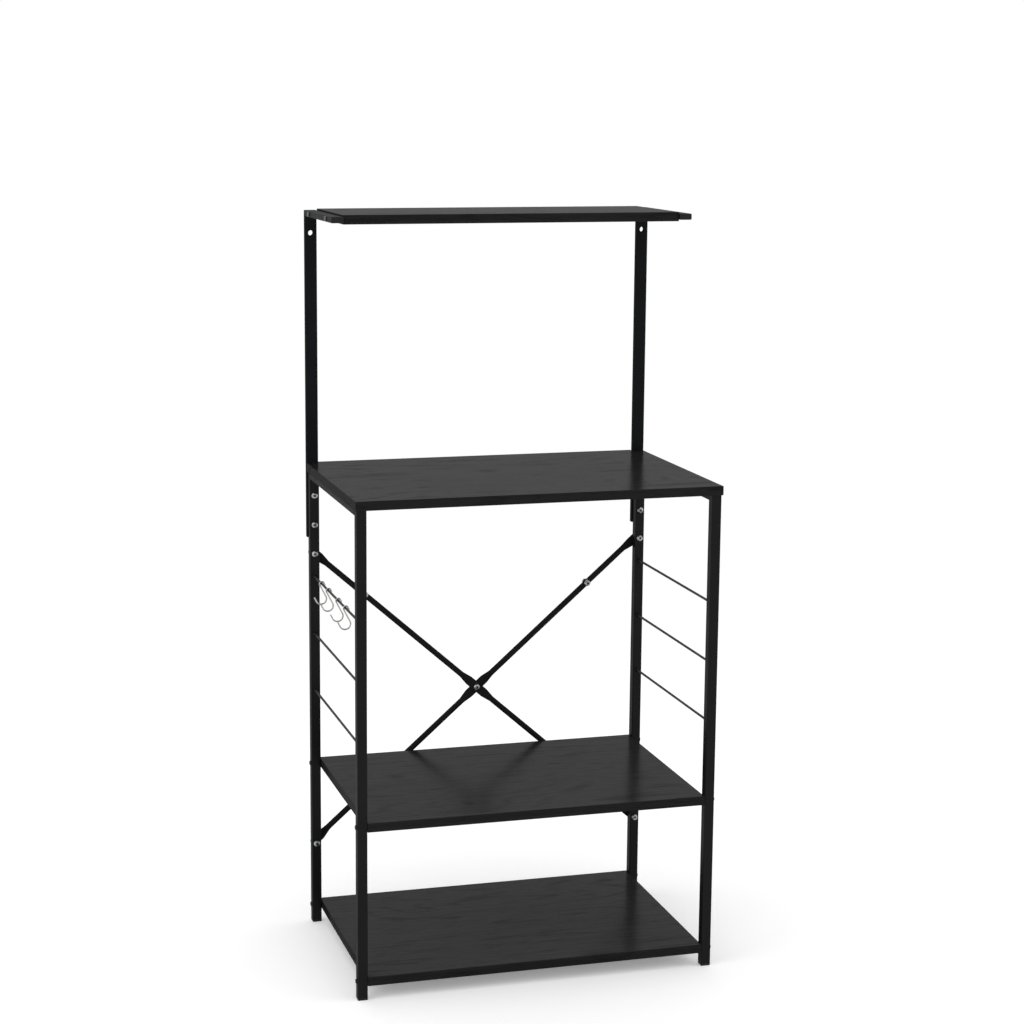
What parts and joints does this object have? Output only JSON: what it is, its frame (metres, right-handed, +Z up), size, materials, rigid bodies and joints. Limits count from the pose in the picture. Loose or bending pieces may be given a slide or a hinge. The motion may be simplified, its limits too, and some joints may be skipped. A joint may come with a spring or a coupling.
{
  "type": "open microwave rack",
  "caption": "Tall open kitchen rack: wide worktop, lower boards, narrow top shelf on bolted uprights, wire sides with swinging S-hooks and a crossed rear brace.",
  "frame": {"origin": "on the floor, in the middle of the worktop's width and depth", "axes": "+X to the right seen from the front, +Y to the back (wall side), +Z up"},
  "size_m": [0.6062, 0.3945, 1.23],
  "materials": {
    "black_board": "satin",
    "black_steel": "satin",
    "black_plastic": "matte",
    "black_screw": "satin",
    "zinc_steel": "satin",
    "nickel_steel": "gloss"
  },
  "bodies": {
    "frame": {"bottom_shelf": "black_board", "brace_crossing_bolts": "zinc_steel", "brace_crossing_nuts": "zinc_steel", "brace_end_bolts": "zinc_steel", "brace_end_nuts": "zinc_steel", "brace_from_upper_left": "black_steel", "brace_from_upper_right": "black_steel", "brace_tube_bolts": "zinc_steel", "brace_tube_nuts": "zinc_steel", "front_left_foot": "black_plastic", "front_left_post": "black_steel", "front_right_foot": "black_plastic", "front_right_post": "black_steel", "left_arm": "black_steel", "left_arm_plug": "black_plastic", "left_top_rail": "black_steel", "left_upright": "black_steel", "left_upright_plug": "black_plastic", "left_wire_1": "black_steel", "left_wire_2": "black_steel", "left_wire_3": "black_steel", "middle_shelf": "black_board", "rear_left_foot": "black_plastic", "rear_left_post": "black_steel", "rear_right_foot": "black_plastic", "rear_right_post": "black_steel", "right_arm": "black_steel", "right_arm_plug": "black_plastic", "right_top_rail": "black_steel", "right_upright": "black_steel", "right_upright_plug": "black_plastic", "right_wire_1": "black_steel", "right_wire_2": "black_steel", "right_wire_3": "black_steel", "shelf_screws": "black_screw", "top_shelf": "black_board", "top_shelf_screws": "zinc_steel", "upright_bolts": "zinc_steel", "upright_nuts": "zinc_steel", "worktop": "black_board", "worktop_screws": "black_screw"},
    "hook_1": {"hook_1": "nickel_steel"},
    "hook_2": {"hook_2": "nickel_steel"},
    "hook_3": {"hook_3": "nickel_steel"},
    "hook_4": {"hook_4": "nickel_steel"}
  },
  "joints": [
    {"name": "hook_1_swing", "type": "hinge", "parent": "frame", "child": "hook_1", "pos_m": [-0.29, 0.111, 0.612], "axis": [0, 1, 0], "range_deg": [-60, 60]},
    {"name": "hook_2_swing", "type": "hinge", "parent": "frame", "child": "hook_2", "pos_m": [-0.29, 0.057, 0.612], "axis": [0, 1, 0], "range_deg": [-60, 60]},
    {"name": "hook_3_swing", "type": "hinge", "parent": "frame", "child": "hook_3", "pos_m": [-0.29, -0.019, 0.612], "axis": [0, 1, 0], "range_deg": [-60, 60]},
    {"name": "hook_4_swing", "type": "hinge", "parent": "frame", "child": "hook_4", "pos_m": [-0.29, -0.076, 0.612], "axis": [0, 1, 0], "range_deg": [-60, 60]}
  ]
}
